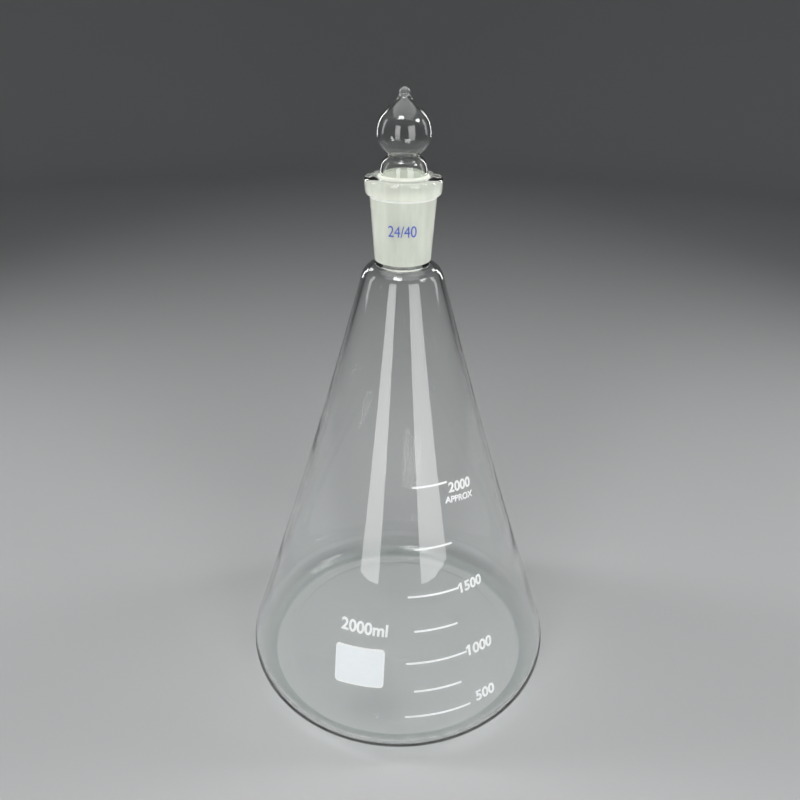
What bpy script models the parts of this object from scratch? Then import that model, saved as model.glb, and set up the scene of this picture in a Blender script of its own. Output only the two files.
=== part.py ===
"""Conical flask with a ground glass socket and a hollow ground glass stopper.

Metres, +Z up. The flask stands on z = 0 with its axis on Z, and its print faces -Y.
Outlines are lists of (radius, height) points that are spun round the axis.
"""

import math

import bmesh
import bpy
from mathutils import Matrix, Vector

# Blown body
BODY_DIAMETER = 0.1755
BODY_WALL = 0.0023
FLOOR_THICKNESS = 0.0033
HEEL_RADIUS = 0.0127
INNER_HEEL_RADIUS = 0.0100
FOOT_WIDTH = 0.0070
PUNT_RISE = 0.0015
PUNT_FLATNESS = 4
WALL_BOW = math.radians(1.6)
SHOULDER_RADIUS = 0.0096
SHOULDER_TURN = math.radians(74)
NECK_STUB = 0.0009

# Ground joint: the wide end's bore, its ground length and its taper on diameter
JOINT_DIAMETER = 0.0240
JOINT_LENGTH = 0.0400
JOINT_TAPER = 0.1
GROUND_CLEARANCE = 0.00015

# Socket, whose rim is the top of the flask
FLASK_HEIGHT = 0.2825
SOCKET_LENGTH = 0.0395
SOCKET_FOOT_WALL = 0.0033
SOCKET_RIM_WALL = 0.0039
RIM_DEPTH = 0.0067
RIM_FLARE = 0.0006
RIM_UNDER_ROUND = 0.0015
RIM_COVE = 0.00055
RIM_ROUND = 0.0018
LIP_ROUND = 0.0020

# Stopper plug
PLUG_STAND = 0.0029
PLUG_WALL = 0.0018
PLUG_FLOOR = 0.0020
PLUG_CORNER = 0.0022

# Stopper head: heights are above the head's foot
HEAD_WALL = 0.0015
COLLAR_STEP = 0.0009
COLLAR_BULGE = 0.0066
WAIST_RADIUS = 0.0073
WAIST_HEIGHT = 0.00805
WAIST_FLARE = 0.0009
BULB_RADIUS = 0.01255
BULB_HEIGHT = 0.0169
BULB_UNDERSIDE = 0.0058
BULB_CROWN = 0.0114
TIP_RADIUS = 0.0023
TIP_HEIGHT = 0.0343
TIP_FLARE = 0.0051
TIP_LENGTH = 0.0021
HOLLOW_TIP_RADIUS = 0.0009
HOLLOW_TIP_DROP = 0.0015

# Gap left where two blanks are sealed together
SEAL_GAP = 0.0003

# Fired enamel
ENAMEL_GAP = 0.0001
ENAMEL_THICKNESS = 0.0002
LINE_WIDTH = 0.0010
PATCH_WIDTH = 0.0262
PATCH_HEIGHT = 0.0210
PATCH_CORNER = 0.0020
PATCH_LEVEL = 0.0509
PATCH_AZIMUTH = math.radians(-15.2)
PATCH_LEAN = math.radians(2.5)

# Graduation lines: millilitres, height, and the azimuths of their two ends in degrees from the front
GRADUATIONS = (
    (500, 0.0265, 2.7, 27.4),
    (750, 0.0397, 6.1, 24.9),
    (1000, 0.0545, 3.2, 28.6),
    (1250, 0.0710, 6.7, 26.1),
    (1500, 0.0888, 4.1, 28.8),
    (1750, 0.1126, 7.5, 28.1),
    (2000, 0.1432, 7.2, 29.6),
)

GLASS_IOR = 1.473

# How finely curves are drawn
BODY_SEGMENTS = 64
NECK_SEGMENTS = 32
WALL_STEPS = 8
ROUND_STEPS = 6
SMALL_ROUND_STEPS = 4
LINE_STEPS = 6
PATCH_STEPS = 5
SHARP_ANGLE = math.radians(40)
MERGE_DISTANCE = 1e-6

# Levels that follow from the sizes above
SEAL_HEIGHT = FLASK_HEIGHT - SOCKET_LENGTH
GAUGE_HEIGHT = FLASK_HEIGHT - LIP_ROUND
PLUG_TOP = GAUGE_HEIGHT + PLUG_STAND
HEAD_FOOT = PLUG_TOP + SEAL_GAP


def clear_scene():
    for old in list(bpy.data.objects):
        bpy.data.objects.remove(old, do_unlink=True)


def arc(centre, radius, start, end, steps):
    """Points on a circle, with angles from the outward direction."""
    angles = [start + (end - start) * step / steps for step in range(steps + 1)]
    return [
        (centre[0] + radius * math.cos(angle), centre[1] + radius * math.sin(angle)) for angle in angles
    ]


def bezier(points, steps):
    """Points on a Bezier curve of any degree."""
    degree = len(points) - 1
    curve = []
    for step in range(steps + 1):
        share = step / steps
        weights = [
            math.comb(degree, order) * share**order * (1 - share) ** (degree - order)
            for order in range(degree + 1)
        ]
        radius = sum(weight * point[0] for weight, point in zip(weights, points))
        height = sum(weight * point[1] for weight, point in zip(weights, points))
        curve.append((radius, height))
    return curve


def upright_curve(low, rise, high, drop, steps):
    """A curve between two points that leaves both of them upright."""
    handles = [low, (low[0], low[1] + rise), (high[0], high[1] - drop), high]
    return bezier(handles, steps)


def joined(*stretches):
    """One outline from several, without the points that they share."""
    outline = []
    for stretch in stretches:
        for point in stretch:
            if not outline or math.dist(point, outline[-1]) > MERGE_DISTANCE:
                outline.append(point)
    return outline


def bore_radius(height):
    """Radius of the ground joint at a height in the flask."""
    return JOINT_DIAMETER / 2 + (height - GAUGE_HEIGHT) * JOINT_TAPER / 2


def plug_radius(height):
    """Radius of the stopper's ground cone at a height from the gauge plane."""
    return JOINT_DIAMETER / 2 + height * JOINT_TAPER / 2 - GROUND_CLEARANCE


def collar_radius():
    return plug_radius(PLUG_STAND) - COLLAR_STEP


def socket_foot_radius():
    return bore_radius(SEAL_HEIGHT) + SOCKET_FOOT_WALL


def shoulder_centre():
    """Centre of the shoulder's round, which ends just below the seal at the socket's width."""
    reach = SHOULDER_RADIUS * math.cos(SHOULDER_TURN)
    rise = SHOULDER_RADIUS * math.sin(SHOULDER_TURN)
    return socket_foot_radius() - reach, SEAL_HEIGHT - NECK_STUB - rise


def body_side(heel_centre, heel_radius, shoulder_radius, shoulder_end):
    """One face of the body, from the bottom of its heel to the end of its shoulder.

    A straight side would be the common tangent of the two rounds. The side bows in from it,
    and still leaves both rounds smoothly.
    """
    top = Vector(shoulder_centre())
    base = Vector(heel_centre)
    span = top - base
    tilt = math.atan2(-span.x, span.y)
    lean = tilt + math.asin((heel_radius - shoulder_radius) / span.length)
    low, high = lean + WALL_BOW, lean - WALL_BOW
    heel = arc(base, heel_radius, -math.pi / 2, low, ROUND_STEPS)
    shoulder = arc(top, shoulder_radius, high, shoulder_end, ROUND_STEPS)
    start, end = Vector(heel[-1]), Vector(shoulder[0])
    rise = Vector((-math.sin(low), math.cos(low)))
    fall = Vector((-math.sin(high), math.cos(high)))
    reach = (end - start).cross(fall) / rise.cross(fall)
    side = bezier([start, start + rise * reach, end], WALL_STEPS)
    return joined(heel, side, shoulder)


def outer_side():
    centre = (BODY_DIAMETER / 2 - HEEL_RADIUS, HEEL_RADIUS)
    return body_side(centre, HEEL_RADIUS, SHOULDER_RADIUS, SHOULDER_TURN)


def inner_side():
    centre = (BODY_DIAMETER / 2 - BODY_WALL - INNER_HEEL_RADIUS, FLOOR_THICKNESS + INNER_HEEL_RADIUS)
    return body_side(centre, INNER_HEEL_RADIUS, SHOULDER_RADIUS - BODY_WALL, math.pi / 2)


def base_dome(heel_foot, level):
    """The pushed-up middle of the base, from the axis out to the foot ring."""
    radius = heel_foot - FOOT_WIDTH
    turns = [step / SMALL_ROUND_STEPS * math.pi / 2 for step in range(SMALL_ROUND_STEPS + 1)]
    shares = [math.sin(turn) for turn in turns]
    return [(radius * share, level + PUNT_RISE * (1 - share**PUNT_FLATNESS)) for share in shares]


def body_outline():
    outer = outer_side()
    inner = inner_side()
    seal = SEAL_HEIGHT - SEAL_GAP
    throat = inner[-1][1]
    neck = [
        (socket_foot_radius(), seal),
        (bore_radius(seal), seal),
        (bore_radius(throat), throat),
    ]
    return joined(
        base_dome(outer[0][0], 0.0),
        outer,
        neck,
        reversed(inner),
        reversed(base_dome(inner[0][0], FLOOR_THICKNESS)),
    )


def socket_outline():
    rim_foot = FLASK_HEIGHT - RIM_DEPTH
    rim_under = rim_foot - RIM_UNDER_ROUND
    tube_radius = bore_radius(rim_under) + SOCKET_RIM_WALL
    corner_radius = tube_radius + RIM_COVE
    rim_radius = corner_radius + RIM_UNDER_ROUND + RIM_FLARE
    cove_centre = (corner_radius, rim_under - RIM_COVE)
    under_centre = (corner_radius, rim_foot)
    rim_centre = (rim_radius - RIM_ROUND, FLASK_HEIGHT - RIM_ROUND)
    lip_centre = (JOINT_DIAMETER / 2 + LIP_ROUND, FLASK_HEIGHT - LIP_ROUND)
    return joined(
        [(bore_radius(SEAL_HEIGHT), SEAL_HEIGHT), (socket_foot_radius(), SEAL_HEIGHT)],
        arc(cove_centre, RIM_COVE, math.pi, math.pi / 2, SMALL_ROUND_STEPS),
        arc(under_centre, RIM_UNDER_ROUND, -math.pi / 2, 0, SMALL_ROUND_STEPS),
        arc(rim_centre, RIM_ROUND, 0, math.pi / 2, SMALL_ROUND_STEPS),
        arc(lip_centre, LIP_ROUND, math.pi / 2, math.pi, SMALL_ROUND_STEPS),
    )


def plug_outline():
    """The ground cone with its closed lower end, in heights from the gauge plane."""
    foot = PLUG_STAND - JOINT_LENGTH
    edge = PLUG_STAND - COLLAR_STEP
    corner = (plug_radius(foot) - PLUG_CORNER, foot)
    bore_corner = PLUG_CORNER / 2
    bore_floor = foot - PLUG_CORNER + PLUG_FLOOR
    bore_centre = (plug_radius(foot) - PLUG_WALL - bore_corner, bore_floor + bore_corner)
    return joined(
        [(0.0, foot - PLUG_CORNER)],
        arc(corner, PLUG_CORNER, -math.pi / 2, 0, SMALL_ROUND_STEPS),
        [(plug_radius(edge), edge), (collar_radius(), PLUG_STAND)],
        [(collar_radius() - PLUG_WALL, PLUG_STAND)],
        reversed(arc(bore_centre, bore_corner, -math.pi / 2, 0, SMALL_ROUND_STEPS)),
        [(0.0, bore_floor)],
    )


def head_side(inset):
    """One face of the head up to the bulb's widest ring, set in from the outside by a wall."""
    foot = (collar_radius() - inset, 0.0)
    waist = (WAIST_RADIUS - inset, WAIST_HEIGHT)
    bulb = (BULB_RADIUS - inset, BULB_HEIGHT)
    return joined(
        upright_curve(foot, COLLAR_BULGE, waist, WAIST_FLARE, ROUND_STEPS),
        upright_curve(waist, WAIST_FLARE, bulb, BULB_UNDERSIDE, ROUND_STEPS),
    )


def closed_top(bulb, tip, length):
    """One face of the head from the bulb's widest ring to its rounded end on the axis."""
    end = (0.0, tip[1] + length)
    rounded = [tip, (tip[0], tip[1] + length / 2), (tip[0] / 2, end[1]), end]
    return joined(
        upright_curve(bulb, BULB_CROWN, tip, TIP_FLARE, ROUND_STEPS + SMALL_ROUND_STEPS),
        bezier(rounded, SMALL_ROUND_STEPS),
    )


def head_outline():
    """The blown head, in heights from its foot, with a hollow that ends in its tip."""
    outer = head_side(0.0)
    inner = head_side(HEAD_WALL)
    tip = (TIP_RADIUS, TIP_HEIGHT)
    hollow_tip = (HOLLOW_TIP_RADIUS, TIP_HEIGHT - HOLLOW_TIP_DROP)
    return joined(
        outer,
        closed_top(outer[-1], tip, TIP_LENGTH),
        reversed(closed_top(inner[-1], hollow_tip, HOLLOW_TIP_RADIUS)),
        reversed(inner),
    )


def add_piece(name, mesh, material, parent, location):
    """Puts a mesh in a named object, shaded smooth except at its edges."""
    mesh.shade_smooth()
    mesh.set_sharp_from_angle(angle=SHARP_ANGLE)
    mesh.materials.append(material)
    piece = bpy.data.objects.new(name, mesh)
    bpy.context.collection.objects.link(piece)
    piece.parent = parent
    piece.location = Vector(location) - parent.location
    return piece


def turned(name, outline, segments, material, parent, base=0.0):
    """A solid of revolution. An outline's edge that lies on the axis spins to nothing."""
    shell = bmesh.new()
    points = [shell.verts.new((radius, 0.0, height)) for radius, height in outline]
    pairs = zip(points, points[1:] + points[:1])
    edges = [shell.edges.new(pair) for pair in pairs if max(end.co.x for end in pair) > 0]
    bmesh.ops.spin(
        shell,
        geom=points + edges,
        cent=(0, 0, 0),
        axis=(0, 0, 1),
        angle=math.tau,
        steps=segments,
        use_merge=True,
    )
    bmesh.ops.remove_doubles(shell, verts=shell.verts, dist=MERGE_DISTANCE)
    bmesh.ops.recalc_face_normals(shell, faces=shell.faces)
    mesh = bpy.data.meshes.new(name)
    shell.to_mesh(mesh)
    shell.free()
    return add_piece(name, mesh, material, parent, (0, 0, base))


def wall_at(height):
    """Radius and outward lean of the body's outer face at a height."""
    side = outer_side()
    for (low_radius, low), (high_radius, high) in zip(side, side[1:]):
        if low <= height <= high:
            share = (height - low) / (high - low)
            radius = low_radius + share * (high_radius - low_radius)
            return radius, math.atan2(low_radius - high_radius, high - low)
    raise ValueError(f"no wall at height {height}")


def wall_point(azimuth, height, lift):
    """A point on the body's outer face, lifted off it. Azimuth 0 is the front, -Y."""
    radius, lean = wall_at(height)
    reach = radius + lift * math.cos(lean)
    return Vector((reach * math.sin(azimuth), -reach * math.cos(azimuth), height + lift * math.sin(lean)))


def enamel(name, sheet, azimuth, level, material, parent):
    """Wraps a flat sheet, wide in X and high in Y, on the wall and gives it its thickness."""
    radius, lean = wall_at(level)
    for point in sheet.verts:
        turn = azimuth + point.co.x / radius
        point.co = wall_point(turn, level + point.co.y * math.cos(lean), ENAMEL_GAP)
    bmesh.ops.recalc_face_normals(sheet, faces=sheet.faces)
    sheet.faces.ensure_lookup_table()
    first = sheet.faces[0]
    if first.normal.dot(first.calc_center_median()) < 0:
        bmesh.ops.reverse_faces(sheet, faces=sheet.faces)
    mesh = bpy.data.meshes.new(name)
    sheet.to_mesh(mesh)
    sheet.free()
    piece = add_piece(name, mesh, material, parent, (0, 0, 0))
    thickness = piece.modifiers.new("thickness", "SOLIDIFY")
    thickness.thickness = ENAMEL_THICKNESS
    thickness.offset = 1.0
    return piece


def flat_sheet(width, height, columns, rows):
    """A flat grid centred on the origin."""
    sheet = bmesh.new()
    bmesh.ops.create_grid(sheet, x_segments=columns, y_segments=rows, size=0.5)
    bmesh.ops.scale(sheet, verts=sheet.verts, vec=(width, height, 1.0))
    return sheet


def graduation(millilitres, height, start, end, material, parent):
    radius = wall_at(height)[0]
    start, end = math.radians(start), math.radians(end)
    sheet = flat_sheet((end - start) * radius, LINE_WIDTH, LINE_STEPS, 1)
    enamel(f"graduation_{millilitres}", sheet, (start + end) / 2, height, material, parent)


def marking_patch(material, parent):
    sheet = flat_sheet(PATCH_WIDTH, PATCH_HEIGHT, PATCH_STEPS, PATCH_STEPS)
    corners = [point for point in sheet.verts if len(point.link_edges) == 2]
    bmesh.ops.bevel(
        sheet, geom=corners, offset=PATCH_CORNER, segments=SMALL_ROUND_STEPS, profile=0.5, affect="VERTICES"
    )
    bmesh.ops.rotate(sheet, verts=sheet.verts, cent=(0, 0, 0), matrix=Matrix.Rotation(PATCH_LEAN, 3, "Z"))
    enamel("marking_patch", sheet, PATCH_AZIMUTH, PATCH_LEVEL, material, parent)


def principled(name, colour, roughness, transmission):
    material = bpy.data.materials.new(name)
    material.use_nodes = True
    shader = material.node_tree.nodes["Principled BSDF"]
    shader.inputs["Base Color"].default_value = (*colour, 1.0)
    shader.inputs["Roughness"].default_value = roughness
    shader.inputs["Metallic"].default_value = 0.0
    shader.inputs["Transmission Weight"].default_value = transmission
    shader.inputs["IOR"].default_value = GLASS_IOR
    return material


def group(name, location):
    """An empty that carries the pieces that move together."""
    empty = bpy.data.objects.new(name, None)
    bpy.context.collection.objects.link(empty)
    empty.location = location
    return empty


def main():
    clear_scene()
    clear_glass = principled("clear_glass", (0.95, 0.98, 0.96), 0.02, 1.0)
    ground_glass = principled("ground_glass", (0.74, 0.76, 0.70), 0.55, 0.5)
    white_enamel = principled("white_enamel", (0.88, 0.89, 0.88), 0.40, 0.0)

    flask = group("flask", (0, 0, 0))
    turned("flask_body", body_outline(), BODY_SEGMENTS, clear_glass, flask)
    turned("ground_socket", socket_outline(), NECK_SEGMENTS, ground_glass, flask)
    marking_patch(white_enamel, flask)
    for millilitres, height, start, end in GRADUATIONS:
        graduation(millilitres, height, start, end, white_enamel, flask)

    stopper = group("stopper", (0, 0, GAUGE_HEIGHT))
    turned("stopper_plug", plug_outline(), NECK_SEGMENTS, ground_glass, stopper, GAUGE_HEIGHT)
    turned("stopper_head", head_outline(), NECK_SEGMENTS, clear_glass, stopper, HEAD_FOOT)


main()
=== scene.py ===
import math

import bpy
from mathutils import Matrix, Vector


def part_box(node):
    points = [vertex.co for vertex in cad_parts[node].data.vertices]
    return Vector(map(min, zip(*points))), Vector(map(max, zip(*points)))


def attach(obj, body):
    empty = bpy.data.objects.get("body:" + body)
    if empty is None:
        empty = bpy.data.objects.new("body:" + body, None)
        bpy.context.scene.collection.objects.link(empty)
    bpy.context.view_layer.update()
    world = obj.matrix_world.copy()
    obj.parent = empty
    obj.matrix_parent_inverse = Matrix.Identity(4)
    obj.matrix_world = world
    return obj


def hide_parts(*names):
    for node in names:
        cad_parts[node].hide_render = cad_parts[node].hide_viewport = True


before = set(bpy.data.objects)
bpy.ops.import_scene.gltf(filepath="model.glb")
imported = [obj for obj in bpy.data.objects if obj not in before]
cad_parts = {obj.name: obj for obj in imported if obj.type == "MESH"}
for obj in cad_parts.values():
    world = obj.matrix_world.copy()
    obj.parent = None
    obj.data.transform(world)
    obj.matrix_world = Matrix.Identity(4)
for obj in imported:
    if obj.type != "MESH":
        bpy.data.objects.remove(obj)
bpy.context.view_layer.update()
mm = 0.001
bodyBox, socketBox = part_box("flask_body"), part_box("ground_socket")
plugBox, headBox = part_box("stopper_plug"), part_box("stopper_head")
print("frame loaded:", ", ".join(sorted(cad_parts)))


# small tools: outlines are (radius, height) in millimetres

samePoint = 0.001
weld = {"glass": 2e-6, "print": 1e-6}  # in metres


def deselectAll():
    bpy.ops.object.select_all(action="DESELECT")


def pickAlone(piece):
    deselectAll()
    piece.select_set(True)
    bpy.context.view_layer.objects.active = piece


def openMesh():  # edit mode, with everything selected
    bpy.ops.object.mode_set(mode="EDIT")
    bpy.ops.mesh.select_all(action="SELECT")


def closeMesh():
    bpy.ops.object.mode_set(mode="OBJECT")


def ringOf(place):  # a place's radius and height in millimetres
    return math.hypot(place.x, place.y) / mm, place.z / mm


def arc(centre, radius, start, end, steps):
    turns = [math.radians(start + (end - start) * i / steps) for i in range(steps + 1)]
    return [(centre[0] + radius * math.cos(t), centre[1] + radius * math.sin(t)) for t in turns]


def bezier(handles, steps):
    degree = len(handles) - 1
    curve = []
    for i in range(steps + 1):
        s = i / steps
        pull = [math.comb(degree, k) * s**k * (1 - s) ** (degree - k) for k in range(degree + 1)]
        curve.append(tuple(sum(p * h[axis] for p, h in zip(pull, handles)) for axis in (0, 1)))
    return curve


def uprightCurve(low, rise, high, drop, steps):
    return bezier([low, (low[0], low[1] + rise), (high[0], high[1] - drop), high], steps)


def evenRun(start, end, steps):
    return [tuple(Vector(start).lerp(Vector(end), i / steps)) for i in range(steps + 1)]


def joinOutlines(*stretches):
    outline = []
    for stretch in stretches:
        for point in stretch:
            if not outline or math.dist(point, outline[-1]) > samePoint:
                outline.append(point)
    return outline


def ripple(outline, depth, pitch):  # tooling rings: points pushed in and out along the outline's normal
    rippled, run = [outline[0]], 0.0
    length = sum(math.dist(a, b) for a, b in zip(outline, outline[1:]))
    for before, point, after in zip(outline, outline[1:], outline[2:]):
        run += math.dist(before, point)
        along = Vector(after) - Vector(before)
        across = Vector((along.y, -along.x)).normalized()
        swell = depth * math.sin(run / pitch * math.tau) * math.sin(run / length * math.pi)
        rippled.append(tuple(Vector(point) + across * swell))
    return rippled + [outline[-1]]


def radiusAt(outline, level):
    for (r0, z0), (r1, z1) in zip(outline, outline[1:]):
        if z0 <= level <= z1:
            return r0 + (r1 - r0) * (level - z0) / (z1 - z0)
    raise ValueError(f"no wall at {level} mm")


def newSquare(name):  # a square of 1 mm, left open
    deselectAll()
    bpy.ops.mesh.primitive_plane_add(size=mm)
    piece = bpy.context.object
    piece.name = piece.data.name = name
    openMesh()
    return piece


def spinOutline(name, outline, steps):
    piece = newSquare(name)
    bpy.ops.mesh.merge(type="CENTER")
    bpy.ops.transform.translate(value=(outline[0][0] * mm, 0, outline[0][1] * mm))
    for start, end in zip(outline, outline[1:]):
        step = ((end[0] - start[0]) * mm, 0, (end[1] - start[1]) * mm)
        bpy.ops.mesh.extrude_region_move(TRANSFORM_OT_translate={"value": step})
    closeMesh()
    lathe = piece.modifiers.new("lathe", "SCREW")
    lathe.steps = lathe.render_steps = steps
    bpy.ops.object.modifier_apply(modifier="lathe")
    openMesh()
    bpy.ops.mesh.remove_doubles(threshold=weld["glass"])
    bpy.ops.mesh.normals_make_consistent(inside=False)
    closeMesh()
    return piece


def smoothShade(piece, angle):
    pickAlone(piece)
    bpy.ops.object.shade_smooth_by_angle(angle=math.radians(angle))


def wear(piece, finish, faces=None):  # gives a finish to the whole piece, or to the faces that a test picks
    if finish.name not in piece.data.materials:
        piece.data.materials.append(finish)
    place = piece.data.materials.find(finish.name)
    for face in piece.data.polygons:
        if faces is None or faces(face):
            face.material_index = place


# finishes

noiseSpan = (0.3, 0.7)  # where most values of a noise lie


def newGroup(name, inputs, outputs):
    group = bpy.data.node_groups.new(name, "ShaderNodeTree")
    for label, kind, value in inputs:
        group.interface.new_socket(label, in_out="INPUT", socket_type=kind).default_value = value
    for label, kind in outputs:
        group.interface.new_socket(label, in_out="OUTPUT", socket_type=kind)
    return group, group.nodes.new("NodeGroupInput"), group.nodes.new("NodeGroupOutput")


def noiseNode(tree, detail, roughness=0.5):
    node = tree.nodes.new("ShaderNodeTexNoise")
    node.inputs["Detail"].default_value = detail
    node.inputs["Roughness"].default_value = roughness
    return node


waveLook = {  # noise scales, and how the rings are stretched and mixed in
    "waves": 22.0,
    "rings": 160.0,
    "ringSqueeze": (0.12, 0.12, 1.0),
    "ringShare": 0.12,
    "haze": 55.0,
}


def makeBlownWaves():  # slow waves of a blown wall, drawn out round the axis, and a little haze
    group, given, result = newGroup(
        "blownWaves",
        [
            ("Wave Scale", "NodeSocketFloat", waveLook["waves"]),
            ("Ring Scale", "NodeSocketFloat", waveLook["rings"]),
        ],
        [("Height", "NodeSocketFloat"), ("Haze", "NodeSocketFloat")],
    )
    place = group.nodes.new("ShaderNodeTexCoord")
    flatten = group.nodes.new("ShaderNodeMapping")
    flatten.inputs["Scale"].default_value = waveLook["ringSqueeze"]
    waves = noiseNode(group, detail=1.5)
    rings = noiseNode(group, detail=2.0)
    haze = noiseNode(group, detail=4.0, roughness=0.6)
    haze.inputs["Scale"].default_value = waveLook["haze"]
    mix = group.nodes.new("ShaderNodeMath")
    mix.operation = "MULTIPLY_ADD"
    mix.inputs[1].default_value = waveLook["ringShare"]
    link = group.links.new
    link(place.outputs["Object"], waves.inputs["Vector"])
    link(place.outputs["Object"], haze.inputs["Vector"])
    link(place.outputs["Object"], flatten.inputs["Vector"])
    link(flatten.outputs["Vector"], rings.inputs["Vector"])
    link(given.outputs["Wave Scale"], waves.inputs["Scale"])
    link(given.outputs["Ring Scale"], rings.inputs["Scale"])
    link(rings.outputs["Fac"], mix.inputs[0])
    link(waves.outputs["Fac"], mix.inputs[2])
    link(mix.outputs[0], result.inputs["Height"])
    link(haze.outputs["Fac"], result.inputs["Haze"])
    return group


def makeFineGrain():  # a soft mottle for the colour and a fine tooth for the bump
    group, given, result = newGroup(
        "fineGrain",
        [
            ("Mottle Scale", "NodeSocketFloat", 200.0),
            ("Mottle Squeeze", "NodeSocketVector", (1.0, 1.0, 1.0)),
            ("Tooth Scale", "NodeSocketFloat", 4000.0),
        ],
        [("Mottle", "NodeSocketFloat"), ("Tooth", "NodeSocketFloat")],
    )
    place = group.nodes.new("ShaderNodeTexCoord")
    squeeze = group.nodes.new("ShaderNodeMapping")
    mottle = noiseNode(group, detail=3.0, roughness=0.55)
    tooth = noiseNode(group, detail=2.0)
    link = group.links.new
    link(place.outputs["Object"], squeeze.inputs["Vector"])
    link(given.outputs["Mottle Squeeze"], squeeze.inputs["Scale"])
    link(squeeze.outputs["Vector"], mottle.inputs["Vector"])
    link(place.outputs["Object"], tooth.inputs["Vector"])
    for noise, label in ((mottle, "Mottle"), (tooth, "Tooth")):
        link(given.outputs[label + " Scale"], noise.inputs["Scale"])
        link(noise.outputs["Fac"], result.inputs[label])
    return group


blownWaves, fineGrain = makeBlownWaves(), makeFineGrain()


def newFinish(name):
    finish = bpy.data.materials.new(name)
    finish.use_nodes = True
    return finish, finish.node_tree, finish.node_tree.nodes["Principled BSDF"]


def placeGroup(tree, group, values):
    node = tree.nodes.new("ShaderNodeGroup")
    node.node_tree = group
    for label, value in values.items():
        node.inputs[label].default_value = value
    return node


def bumpFrom(tree, height, shader, strength, distance):
    bump = tree.nodes.new("ShaderNodeBump")
    bump.inputs["Strength"].default_value = strength
    bump.inputs["Distance"].default_value = distance
    tree.links.new(height, bump.inputs["Height"])
    tree.links.new(bump.outputs["Normal"], shader.inputs["Normal"])


def remap(tree, value, low, high, span=noiseSpan):
    node = tree.nodes.new("ShaderNodeMapRange")
    node.inputs["From Min"].default_value = span[0]
    node.inputs["From Max"].default_value = span[1]
    node.inputs["To Min"].default_value = low
    node.inputs["To Max"].default_value = high
    tree.links.new(value, node.inputs["Value"])
    return node.outputs["Result"]


def riseBetween(tree, levels):  # from 0 at the lower level to 1 at the upper one
    place = tree.nodes.new("ShaderNodeTexCoord")
    split = tree.nodes.new("ShaderNodeSeparateXYZ")
    tree.links.new(place.outputs["Object"], split.inputs["Vector"])
    return remap(tree, split.outputs["Z"], 0.0, 1.0, levels)


def blendColours(tree, share, dark, light, socket):
    node = tree.nodes.new("ShaderNodeMix")
    node.data_type = "RGBA"
    node.inputs["A"].default_value = (*dark, 1)
    node.inputs["B"].default_value = (*light, 1)
    tree.links.new(share, node.inputs["Factor"])
    tree.links.new(node.outputs["Result"], socket)


clearLook = {
    "tint": (0.99, 0.997, 0.993),
    "heelTint": (0.75, 0.785, 0.77),  # the light's longer way through the thick heel
    "heelFade": (0.0, 0.0133),
    "ior": 1.473,
    "bodyShadow": (0.7, 0.71, 0.705),  # what a lamp's light keeps at each face it passes
    "jointShadow": (0.885, 0.89, 0.885),
    "waveHeight": 0.0006,
    "waveStrength": 0.12,
    "roughLow": 0.0,
    "roughHigh": 0.012,
}


def makeClearGlass(name, shadow, thick=False):
    finish, tree, shader = newFinish(name)
    shader.inputs["Base Color"].default_value = (*clearLook["tint"], 1)
    if thick:
        share = riseBetween(tree, clearLook["heelFade"])
        blendColours(tree, share, clearLook["heelTint"], clearLook["tint"], shader.inputs["Base Color"])
    shader.inputs["IOR"].default_value = clearLook["ior"]
    shader.inputs["Transmission Weight"].default_value = 1.0
    waves = placeGroup(tree, blownWaves, {})
    rough = remap(tree, waves.outputs["Haze"], clearLook["roughLow"], clearLook["roughHigh"])
    tree.links.new(rough, shader.inputs["Roughness"])
    bumpFrom(tree, waves.outputs["Height"], shader, clearLook["waveStrength"], clearLook["waveHeight"])
    # lamps shine through the glass, so that what is inside it and under it is lit
    through = tree.nodes.new("ShaderNodeBsdfTransparent")
    through.inputs["Color"].default_value = (*shadow, 1)
    rays = tree.nodes.new("ShaderNodeLightPath")
    mix = tree.nodes.new("ShaderNodeMixShader")
    tree.links.new(rays.outputs["Is Shadow Ray"], mix.inputs["Fac"])
    tree.links.new(shader.outputs["BSDF"], mix.inputs[1])
    tree.links.new(through.outputs["BSDF"], mix.inputs[2])
    tree.links.new(mix.outputs["Shader"], tree.nodes["Material Output"].inputs["Surface"])
    return finish


groundLook = {
    "grain": {"Mottle Scale": 300.0, "Mottle Squeeze": (1.0, 1.0, 0.16), "Tooth Scale": 6000.0},
    "rough": 0.6,
    "roughSpread": 0.08,
    "toothStrength": 0.35,
    "toothHeight": 0.0001,
    "transmission": 0.2,
}


def roughenWith(tree, grain, shader, look, rough):
    low, high = rough - look["roughSpread"], rough + look["roughSpread"]
    tree.links.new(remap(tree, grain.outputs["Tooth"], low, high), shader.inputs["Roughness"])
    bumpFrom(tree, grain.outputs["Tooth"], shader, look["toothStrength"], look["toothHeight"])


def makeGroundGlass(name, dark, light):
    finish, tree, shader = newFinish(name)
    shader.inputs["IOR"].default_value = clearLook["ior"]
    shader.inputs["Transmission Weight"].default_value = groundLook["transmission"]
    grain = placeGroup(tree, fineGrain, groundLook["grain"])
    tone = remap(tree, grain.outputs["Mottle"], 0.0, 1.0)
    blendColours(tree, tone, dark, light, shader.inputs["Base Color"])
    roughenWith(tree, grain, shader, groundLook, groundLook["rough"])
    return finish


enamelLook = {
    "grain": {"Mottle Scale": 420.0, "Tooth Scale": 3500.0},
    "roughSpread": 0.1,
    "toothStrength": 0.25,
    "toothHeight": 0.00008,
}


def makeEnamel(name, dark, light, rough):
    finish, tree, shader = newFinish(name)
    grain = placeGroup(tree, fineGrain, enamelLook["grain"])
    blendColours(tree, grain.outputs["Mottle"], dark, light, shader.inputs["Base Color"])
    roughenWith(tree, grain, shader, enamelLook, rough)
    return finish


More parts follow.
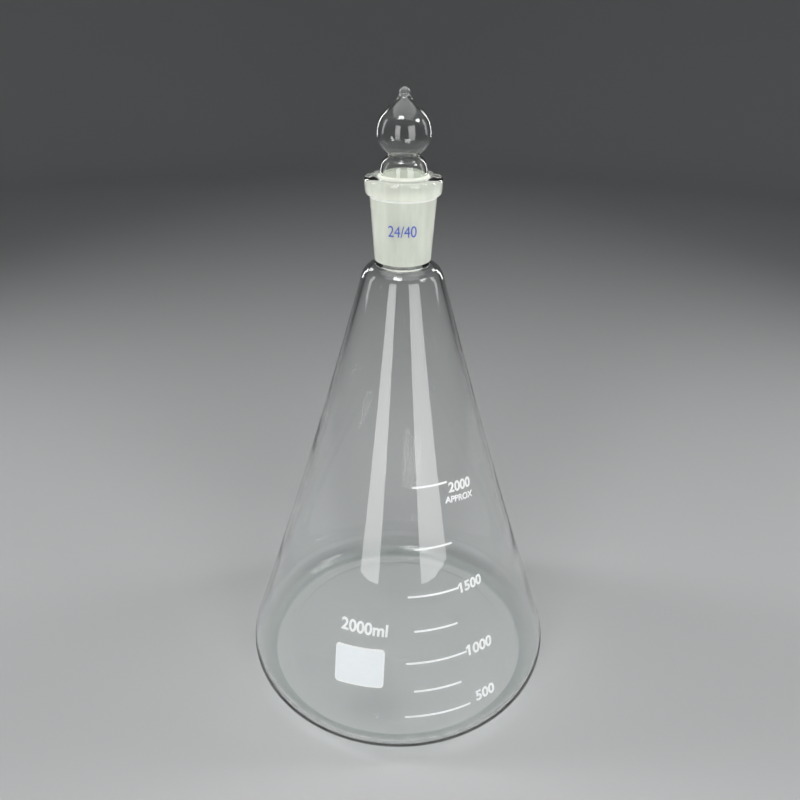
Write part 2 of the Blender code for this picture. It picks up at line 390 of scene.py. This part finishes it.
bodyGlass = makeClearGlass("bodyGlass", clearLook["bodyShadow"])
heelGlass = makeClearGlass("heelGlass", clearLook["bodyShadow"], thick=True)
jointGlass = makeClearGlass("jointGlass", clearLook["jointShadow"])
groundGlass = makeGroundGlass("groundGlass", (0.71, 0.74, 0.65), (0.83, 0.86, 0.77))
# frosting raised to near white round the rim's foot: a painted highlight for the bright line of light there
rimHighlightGlass = makeGroundGlass("rimHighlightGlass", (0.9, 0.92, 0.87), (0.96, 0.97, 0.93))
whiteEnamel = makeEnamel("whiteEnamel", (0.84, 0.86, 0.86), (0.93, 0.94, 0.94), 0.38)
patchEnamel = makeEnamel("patchEnamel", (0.81, 0.86, 0.88), (0.86, 0.9, 0.92), 0.62)
blueEnamel = makeEnamel("blueEnamel", (0.045, 0.085, 0.46), (0.07, 0.12, 0.58), 0.42)
print("finishes made")


# flask: body and socket are one piece of glass, sealed in the flame

glassSmooth = 35  # edges that turn by more degrees stay sharp
joint = {"bore": 12.0, "taper": 0.05, "steps": 12}  # radius at the wide end, and its fall with height

socket = {
    "seal": socketBox[0][2] / mm,
    "rim": socketBox[1][2] / mm,
    "footWall": 3.3,
    "rimWall": 3.9,
    "rimDepth": 6.7,
    "flare": 0.6,
    "underRound": 1.5,
    "cove": 0.55,
    # height of the ring that carries the painted highlight under the rim
    "highlightBand": 0.45,
    "rimRound": 1.8,
    "lipRound": 2.0,
    "coveSteps": 6,
    "bandSteps": 8,
    "roundSteps": 10,
    "boreMargin": 0.3,
    "outsideMargin": 2.0,
}
gauge = socket["rim"] - socket["lipRound"]
rimFoot = socket["rim"] - socket["rimDepth"]
underRim = rimFoot - socket["underRound"]

body = {
    "radius": bodyBox[1][0] / mm,
    "wall": 2.3,
    "floor": 3.3,
    "heel": 12.7,
    "innerHeel": 10.0,
    "heelSteps": 24,
    "footWidth": 7.0,
    "punt": 1.5,
    "puntFlatness": 12,
    "puntSteps": 18,
    "bow": 1.6,
    "bowSteps": 44,
    "shoulder": 9.6,
    "shoulderTurn": 74.0,
    "shoulderSteps": 40,
    "neckStub": 0.9,
    "throatSteps": 2,
    "ringDepth": 0.022,
    "ringPitch": 1.7,
    "swell": 0.3,
    "swellSize": 30.0,
    "steps": 256,
}


def boreAt(level):
    return joint["bore"] + (level - gauge) * joint["taper"]


socketFoot = boreAt(socket["seal"]) + socket["footWall"]
turn = math.radians(body["shoulderTurn"])
shoulderCentre = (
    socketFoot - body["shoulder"] * math.cos(turn),
    socket["seal"] - body["neckStub"] - body["shoulder"] * math.sin(turn),
)


def uphill(lean):  # along a wall that leans inward by these degrees
    return Vector((-math.sin(math.radians(lean)), math.cos(math.radians(lean))))


def bodySide(heelCentre, heel, shoulder, shoulderEnd):  # heel round, bowed side and shoulder round
    span = Vector(shoulderCentre) - Vector(heelCentre)
    lean = math.degrees(math.atan2(-span.x, span.y) + math.asin((heel - shoulder) / span.length))
    low, high = lean + body["bow"], lean - body["bow"]
    heelRound = arc(heelCentre, heel, -90, low, body["heelSteps"])
    shoulderRound = arc(shoulderCentre, shoulder, high, shoulderEnd, body["shoulderSteps"])
    start, end = Vector(heelRound[-1]), Vector(shoulderRound[0])
    rise, fall = uphill(low), uphill(high)
    reach = (end - start).cross(fall) / rise.cross(fall)
    return heelRound, bezier([start, start + rise * reach, end], body["bowSteps"]), shoulderRound


def dome(radius, level):  # the pushed-up middle of the base, out to the foot ring
    steps = body["puntSteps"]
    shares = [math.sin(math.radians(90 * i / steps)) for i in range(steps + 1)]
    heights = [body["punt"] * (1 - share ** body["puntFlatness"]) for share in shares]
    return [(radius * share, level + height) for share, height in zip(shares, heights)]


outerHeel, outerWall, outerShoulder = bodySide(
    (body["radius"] - body["heel"], body["heel"]), body["heel"], body["shoulder"], body["shoulderTurn"]
)
innerHeel, innerWall, innerShoulder = bodySide(
    (body["radius"] - body["wall"] - body["innerHeel"], body["floor"] + body["innerHeel"]),
    body["innerHeel"],
    body["shoulder"] - body["wall"],
    90,
)


def socketOutside():
    cove, rimRound, lipRound = socket["cove"], socket["rimRound"], socket["lipRound"]
    corner = boreAt(underRim) + socket["rimWall"] + cove
    band = corner + socket["underRound"]
    rimRadius = band + socket["flare"]
    rimShoulder = socket["rim"] - rimRound
    foot, wallTop = Vector((socketFoot, socket["seal"])), Vector((corner - cove, underRim - cove))
    lineFoot = wallTop + (foot - wallTop).normalized() * socket["highlightBand"]
    return joinOutlines(
        [tuple(foot), tuple(lineFoot)],
        arc((corner, underRim - cove), cove, 180, 90, socket["coveSteps"]),
        arc((corner, rimFoot), socket["underRound"], -90, 0, socket["roundSteps"]),
        evenRun((band, rimFoot), (rimRadius, rimShoulder), socket["bandSteps"]),
        arc((rimRadius - rimRound, rimShoulder), rimRound, 0, 90, socket["roundSteps"]),
        arc((joint["bore"] + lipRound, gauge), lipRound, 90, 180, socket["roundSteps"]),
    )


boreTop, boreFoot = (boreAt(gauge), gauge), (boreAt(socket["seal"]), socket["seal"])
throat = innerShoulder[-1][1]
flaskOutline = joinOutlines(
    dome(outerHeel[0][0] - body["footWidth"], 0.0),
    outerHeel,
    outerWall,
    ripple(outerShoulder, body["ringDepth"], body["ringPitch"]),
    socketOutside(),
    evenRun(boreTop, boreFoot, joint["steps"]),
    evenRun(boreFoot, (boreAt(throat), throat), body["throatSteps"]),
    ripple(innerShoulder[::-1], body["ringDepth"], body["ringPitch"]),
    innerWall[::-1],
    innerHeel[::-1],
    dome(innerHeel[0][0] - body["footWidth"], body["floor"])[::-1],
)
flaskGlass = spinOutline("flask_glass", flaskOutline, body["steps"])

# the blown wall swells a little on its inside, fading out at the heel and the shoulder
inside = flaskGlass.vertex_groups.new(name="inside")
swellLow, swellHigh = innerWall[0][1], innerWall[-1][1]
for point in flaskGlass.data.vertices:
    reach, level = ringOf(point.co)
    if swellLow < level < swellHigh and reach < radiusAt(innerWall, level) + body["wall"] / 2:
        share = (level - swellLow) / (swellHigh - swellLow)
        inside.add([point.index], math.sqrt(math.sin(math.pi * share)), "REPLACE")
clouds = bpy.data.textures.new("wallSwell", "CLOUDS")
clouds.noise_scale = body["swellSize"] * mm
clouds.noise_depth = 1
swell = flaskGlass.modifiers.new("swell", "DISPLACE")
swell.texture = clouds
swell.texture_coords = "LOCAL"
swell.vertex_group = inside.name
swell.strength = body["swell"] * mm
bpy.ops.object.modifier_apply(modifier="swell")
smoothShade(flaskGlass, glassSmooth)


def isHeel(face):
    reach, level = ringOf(face.center)
    return reach > innerHeel[0][0] and level < body["floor"] + body["innerHeel"]


def isSocket(face):
    return ringOf(face.center)[1] > socket["seal"]


def isBore(face):  # the ground cone inside the socket
    reach, level = ringOf(face.center)
    return socket["seal"] < level < gauge and reach < boreAt(level) + socket["boreMargin"]


def isRimHighlight(face):  # a near-white frosted ring round the foot of the rim: a painted highlight for the bright line of light there
    reach, level = ringOf(face.center)
    low = underRim - socket["cove"] - socket["highlightBand"]
    return low < level < underRim and reach > boreAt(level) + socket["outsideMargin"]


wear(flaskGlass, bodyGlass)
wear(flaskGlass, heelGlass, isHeel)
wear(flaskGlass, jointGlass, isSocket)
wear(flaskGlass, groundGlass, isBore)
# the ring under the rim gets the painted highlight
wear(flaskGlass, rimHighlightGlass, isRimHighlight)
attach(flaskGlass, "flask")
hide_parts("flask_body", "ground_socket")
print("flask glass spun:", len(flaskGlass.data.polygons), "faces")


# stopper: ground cone and blown head are one hollow piece of glass

stopper = {
    "stand": plugBox[1][2] / mm,
    "clearance": 0.15,
    "length": 40.0,
    "wall": 1.8,
    "floor": 2.0,
    "corner": 2.2,
    "cornerSteps": 10,
    "step": 0.9,
    "headFoot": headBox[0][2] / mm,
    "headWall": 1.5,
    "collarBulge": 6.6,
    "waist": (7.3, 8.05),  # radius, and height over the head's foot
    "waistFlare": 0.9,
    "bulb": (12.55, 16.9),
    "underside": 5.8,
    "sideSteps": 22,
    "crown": 11.4,
    "crownSteps": 40,
    "tip": (2.3, 34.3),
    "tipFlare": 5.1,
    "tipSteps": 14,
    "end": headBox[1][2] / mm,
    "hollowCornerSteps": 8,
    "hollowTip": (0.9, 32.8),
    "coneMargin": 0.5,
    "steps": 160,
}


def plugAt(level):
    return boreAt(level) - stopper["clearance"]


def onHead(key, inset=0.0):
    radius, height = stopper[key]
    return (radius - inset, stopper["headFoot"] + height)


def headSide(inset):
    foot = (plugAt(stopper["stand"]) - stopper["step"] - inset, stopper["headFoot"])
    waist, bulb = onHead("waist", inset), onHead("bulb", inset)
    return joinOutlines(
        uprightCurve(foot, stopper["collarBulge"], waist, stopper["waistFlare"], stopper["sideSteps"]),
        uprightCurve(waist, stopper["waistFlare"], bulb, stopper["underside"], stopper["sideSteps"]),
    )


def closedTop(bulb, tip, end):  # from the bulb's widest ring to its rounded end on the axis
    length = end - tip[1]
    handles = [tip, (tip[0], tip[1] + length / 2), (tip[0] / 2, end), (0.0, end)]
    return joinOutlines(
        uprightCurve(bulb, stopper["crown"], tip, stopper["tipFlare"], stopper["crownSteps"]),
        bezier(handles, stopper["tipSteps"]),
    )


corner = stopper["corner"]
plugFoot = stopper["stand"] - stopper["length"]
plugEdge = stopper["stand"] - stopper["step"]
tip, hollowTip = onHead("tip"), onHead("hollowTip")
outerHead, innerHead = headSide(0.0), headSide(stopper["headWall"])
hollowCorner = corner / 2
hollowFloor = plugFoot - corner + stopper["floor"]
hollowCentre = (plugAt(plugFoot) - stopper["wall"] - hollowCorner, hollowFloor + hollowCorner)
stopperOutline = joinOutlines(
    [(0.0, plugFoot - corner)],
    arc((plugAt(plugFoot) - corner, plugFoot), corner, -90, 0, stopper["cornerSteps"]),
    evenRun((plugAt(plugFoot), plugFoot), (plugAt(plugEdge), plugEdge), joint["steps"]),
    [(outerHead[0][0], stopper["stand"])],
    outerHead,
    closedTop(outerHead[-1], tip, stopper["end"]),
)
hollowOutline = joinOutlines(
    [(0.0, hollowFloor)],
    arc(hollowCentre, hollowCorner, -90, 0, stopper["hollowCornerSteps"]),
    innerHead,
    closedTop(innerHead[-1], hollowTip, hollowTip[1] + hollowTip[0]),
)
stopperGlass = spinOutline("stopper_glass", stopperOutline, stopper["steps"])
hollow = spinOutline("stopper_hollow", hollowOutline, stopper["steps"])
openMesh()
bpy.ops.mesh.flip_normals()
closeMesh()
stopperGlass.select_set(True)
bpy.context.view_layer.objects.active = stopperGlass
bpy.ops.object.join()
smoothShade(stopperGlass, glassSmooth)


def isGroundCone(face):
    reach, level = ringOf(face.center)
    return plugFoot < level < stopper["stand"] and reach > plugAt(level) - stopper["coneMargin"]


wear(stopperGlass, jointGlass)
wear(stopperGlass, groundGlass, isGroundCone)
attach(stopperGlass, "stopper")
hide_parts("stopper_plug", "stopper_head")
print("stopper glass spun:", len(stopperGlass.data.polygons), "faces")


# fired print

enamel = {"lift": 0.03, "thickness": 0.14, "column": 1.2, "standOff": 12.0, "smooth": 40}


def layOnGlass(piece, azimuth, level, outline, lean=0.0):  # presses a flat print, facing +Z, on the glass
    turn = math.radians(azimuth)
    out = Vector((math.sin(turn), -math.cos(turn), 0))
    right = Vector((math.cos(turn), math.sin(turn), 0))
    stand = out * (radiusAt(outline, level) + enamel["standOff"]) * mm + Vector((0, 0, level * mm))
    upright = Matrix((right, Vector((0, 0, 1)), out)).transposed()
    facing = upright @ Matrix.Rotation(math.radians(lean), 3, "Z")
    piece.matrix_world = Matrix.Translation(stand) @ facing.to_4x4()
    pickAlone(piece)
    press = piece.modifiers.new("press", "SHRINKWRAP")
    press.target = flaskGlass
    press.wrap_method = "PROJECT"
    press.use_project_z = True
    press.use_positive_direction = False
    press.use_negative_direction = True
    press.offset = enamel["lift"] * mm
    thick = piece.modifiers.new("thick", "SOLIDIFY")
    thick.thickness = enamel["thickness"] * mm
    thick.offset = 1.0
    for modifier in ("press", "thick"):
        bpy.ops.object.modifier_apply(modifier=modifier)
    openMesh()
    bpy.ops.mesh.normals_make_consistent(inside=False)
    closeMesh()
    bpy.ops.object.transform_apply(location=True, rotation=True, scale=True)
    smoothShade(piece, enamel["smooth"])


def cutColumns(width):  # upright cuts, so that a flat print can bend round the glass
    count = max(1, round(width / enamel["column"]))
    for i in range(1, count):
        bpy.ops.mesh.select_all(action="SELECT")
        place = (-width / 2 + width * i / count) * mm
        bpy.ops.mesh.bisect(plane_co=(place, 0, 0), plane_no=(1, 0, 0))


def newPlate(name, width, height, corner):  # a flat plate with rounded corners, left open
    plate = newSquare(name)
    bpy.ops.transform.resize(value=(width, height, 1))
    bpy.ops.mesh.bevel(offset=corner * mm, segments=5, affect="VERTICES")
    return plate


lineLook = {"width": 1.0, "corner": 0.35}
graduations = (  # millilitres, level, and the azimuths of both ends
    (500, 26.5, 2.7, 27.4),
    (750, 39.7, 6.1, 24.9),
    (1000, 54.5, 3.2, 28.6),
    (1250, 71.0, 6.7, 26.1),
    (1500, 88.8, 4.1, 28.8),
    (1750, 112.6, 7.5, 28.1),
    (2000, 143.2, 7.2, 29.6),
)
for volume, level, start, end in graduations:
    span = 2 * radiusAt(outerWall, level) * math.sin(math.radians(end - start) / 2)
    line = newPlate(f"line_{volume}", span, lineLook["width"], lineLook["corner"])
    cutColumns(span)
    closeMesh()
    layOnGlass(line, (start + end) / 2, level, outerWall)
    wear(line, whiteEnamel)
    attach(line, "flask")
    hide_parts(f"graduation_{volume}")

patch = {
    "width": 26.2,
    "height": 20.2,
    "corner": 2.0,
    "border": 0.9,
    "margin": 0.001,
    "level": 50.9,
    "azimuth": -15.2,
    "lean": 2.5,
}
patchPlate = newPlate("patch_plate", patch["width"], patch["height"], patch["corner"])
bpy.ops.mesh.select_all(action="SELECT")
bpy.ops.mesh.inset(thickness=patch["border"] * mm)
cutColumns(patch["width"])
closeMesh()


def isField(face):  # inside the patch's glossy border
    field = [patch[side] / 2 - patch["border"] + patch["margin"] for side in ("width", "height")]
    corners = [patchPlate.data.vertices[i].co for i in face.vertices]
    return all(abs(point[axis]) < field[axis] * mm for point in corners for axis in (0, 1))


wear(patchPlate, whiteEnamel)
wear(patchPlate, patchEnamel, isField)
layOnGlass(patchPlate, patch["azimuth"], patch["level"], outerWall, patch["lean"])
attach(patchPlate, "flask")
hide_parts("marking_patch")
print("lines and patch laid")

# in the font's own units
flag = {"root": 0.555, "steps": ((-0.07, -0.085), (-0.075, -0.035)), "margin": 0.001}


def addFlag(label):  # the built-in figure one is a bare bar, so its upper left edge is drawn out
    left = min(point.co.x for point in label.data.vertices)
    openMesh()
    bpy.ops.mesh.select_mode(type="VERT")
    bpy.ops.mesh.bisect(plane_co=(0, flag["root"], 0), plane_no=(0, 1, 0))
    bpy.ops.mesh.select_all(action="DESELECT")
    closeMesh()
    for point in label.data.vertices:
        besideEdge = point.co.x < left + flag["margin"]
        point.select = besideEdge and point.co.y > flag["root"] - flag["margin"]
    bpy.ops.object.mode_set(mode="EDIT")
    for across, along in flag["steps"]:
        bpy.ops.mesh.extrude_region_move(TRANSFORM_OT_translate={"value": (across, along, 0)})
    closeMesh()


numerals = (  # name, words, finish, middle level, middle azimuth, width, height, lean, stroke
    ("numeral_500", "500", whiteEnamel, 28.7, 34.2, 12.4, 5.6, 0.0, 0.028),
    ("numeral_1000", "1000", whiteEnamel, 54.3, 34.9, 16.8, 5.8, -2.5, 0.028),
    ("numeral_1500", "1500", whiteEnamel, 88.3, 35.2, 14.8, 5.4, 0.0, 0.028),
    ("numeral_2000", "2000", whiteEnamel, 139.4, 38.6, 14.0, 5.2, -5.0, 0.028),
    ("word_approx", "APPROX", whiteEnamel, 133.4, 37.2, 17.4, 3.3, -7.0, 0.028),
    ("capacity_2000", "2000ml", whiteEnamel, 71.3, -14.5, 24.6, 6.6, 0.0, 0.028),
    ("joint_size", "24/40", blueEnamel, 260.4, -1.2, 12.8, 5.2, 0.0, 0.0),
)
for name, words, finish, level, azimuth, width, height, lean, stroke in numerals:
    deselectAll()
    bpy.ops.object.text_add()
    label = bpy.context.object
    label.name = name
    label.data.body = words
    label.data.offset = stroke
    bpy.ops.object.convert(target="MESH")
    label = bpy.context.object
    label.data.name = name
    if words.startswith("1"):
        addFlag(label)
    spread = [[point.co[axis] for point in label.data.vertices] for axis in (0, 1)]
    middle = [(max(values) + min(values)) / 2 for values in spread]
    size = [max(values) - min(values) for values in spread]
    scale = (width * mm / size[0], height * mm / size[1], 1)
    openMesh()
    bpy.ops.transform.translate(value=(-middle[0], -middle[1], 0))
    bpy.ops.transform.resize(value=scale, center_override=(0, 0, 0))
    bpy.ops.mesh.remove_doubles(threshold=weld["print"])
    for i in range(2):  # the font's empty faces: one pass leaves some of them
        bpy.ops.mesh.dissolve_degenerate(threshold=weld["print"])
    cutColumns(width)
    closeMesh()
    layOnGlass(label, azimuth, level, socketOutside() if finish == blueEnamel else outerWall, lean)
    wear(label, finish)
    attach(label, "flask")
print("numerals laid")


# studio

studio = {
    "floor": -0.4,
    "radius": 2400.0,
    "bend": 900.0,
    "bendSteps": 16,
    "height": 2600.0,
    "steps": 96,
    "smooth": 60,
    "tone": (0.46, 0.465, 0.47),
    "rough": 0.9,
    "skyTone": (0.86, 0.88, 0.9),
    "skyStrength": 0.16,
    "lampAim": 150.0,
}
bendCentre = (studio["radius"] - studio["bend"], studio["bend"] + studio["floor"])
sweep = spinOutline(
    "studio_sweep",
    joinOutlines(
        [(0.0, studio["floor"])],
        arc(bendCentre, studio["bend"], -90, 0, studio["bendSteps"]),
        [(studio["radius"], studio["height"])],
    ),
    studio["steps"],
)
smoothShade(sweep, studio["smooth"])
paper, _, paperShader = newFinish("studioPaper")
paperShader.inputs["Base Color"].default_value = (*studio["tone"], 1)
paperShader.inputs["Roughness"].default_value = studio["rough"]
paperShader.inputs["Specular IOR Level"].default_value = 0.0
wear(sweep, paper)

sky = bpy.data.worlds.new("studioSky")
sky.use_nodes = True
skyShader = sky.node_tree.nodes["Background"]
skyShader.inputs["Color"].default_value = (*studio["skyTone"], 1)
skyShader.inputs["Strength"].default_value = studio["skyStrength"]
bpy.context.scene.world = sky

# lamps: name, azimuth from the front, distance, middle height, width, height, spread, power
fills = (  # they light surfaces
    ("leftFill", -26.0, 660.0, 460.0, 215.0, 620.0, 140.0, 1.15),
    ("rightFill", 32.0, 660.0, 460.0, 320.0, 620.0, 140.0, 1.3),
    ("leftSideFill", -97.0, 820.0, 560.0, 150.0, 560.0, 140.0, 2.5),
    ("rightSideFill", 100.0, 820.0, 560.0, 150.0, 560.0, 140.0, 2.1),
    ("upperLeftFill", -24.0, 440.0, 1100.0, 280.0, 180.0, 180.0, 1.2),
    ("upperRightFill", 75.0, 820.0, 945.0, 280.0, 180.0, 180.0, 1.2),
)
shines = (  # they are mirrored in the glass, and the upper two are also seen through it
    ("leftStrip", -26.0, 640.0, 310.0, 215.0, 620.0, 110.0, 1.15),
    ("rightStrip", 32.0, 640.0, 310.0, 320.0, 620.0, 110.0, 1.65),
    ("leftSide", -97.0, 800.0, 480.0, 150.0, 560.0, 100.0, 0.42),
    ("rightSide", 100.0, 800.0, 480.0, 150.0, 560.0, 100.0, 0.42),
    ("leftEdge", -140.0, 900.0, 430.0, 120.0, 680.0, 100.0, 0.68),
    ("rightEdge", 140.0, 900.0, 430.0, 120.0, 680.0, 100.0, 0.68),
    ("upperLeft", -24.0, 420.0, 1095.0, 280.0, 180.0, 180.0, 3.4),
    ("upperRight", 75.0, 800.0, 940.0, 280.0, 180.0, 180.0, 3.4),
    ("ceiling", 0.0, 1.0, 1900.0, 2200.0, 2200.0, 180.0, 38.0),
)


def addLamp(name, azimuth, distance, level, width, height, spread, power):
    lamp = bpy.data.lights.new(name, "AREA")
    lamp.shape = "RECTANGLE"
    lamp.size = width * mm
    lamp.size_y = height * mm
    lamp.spread = math.radians(spread)
    lamp.energy = power
    holder = bpy.data.objects.new(name, lamp)
    bpy.context.collection.objects.link(holder)
    turn = math.radians(azimuth)
    holder.location = (math.sin(turn) * distance * mm, -math.cos(turn) * distance * mm, level * mm)
    aim = Vector((0, 0, studio["lampAim"] * mm)) - holder.location
    holder.rotation_euler = aim.to_track_quat("-Z", "Y").to_euler()
    holder.visible_camera = False
    return holder


for row in fills:
    holder = addLamp(*row)
    holder.visible_glossy = holder.visible_transmission = False
for row in shines:
    holder = addLamp(*row)
    holder.visible_diffuse = False
    holder.visible_transmission = row[0].startswith("upper")

view = {
    "lens": 33.433,
    "sensor": 36.0,
    "shift": -0.0012,
    "nearest": 0.01,
    "distance": 346.3,
    "height": 349.83,
    "pitch": 27.82,
    "roll": 0.7,
}
cameraData = bpy.data.cameras.new("photoCamera")
cameraData.lens = view["lens"]
cameraData.sensor_width = view["sensor"]
cameraData.shift_x = view["shift"]
cameraData.clip_start = view["nearest"]
camera = bpy.data.objects.new("photoCamera", cameraData)
bpy.context.collection.objects.link(camera)
camera.location = (0, -view["distance"] * mm, view["height"] * mm)
tilt = Matrix.Rotation(math.radians(90 - view["pitch"]), 3, "X")
roll = Matrix.Rotation(math.radians(view["roll"]), 3, "Z")
camera.rotation_euler = (tilt @ roll).to_euler()
bpy.context.scene.camera = camera
bpy.context.scene.view_settings.view_transform = "Standard"
print("studio set")
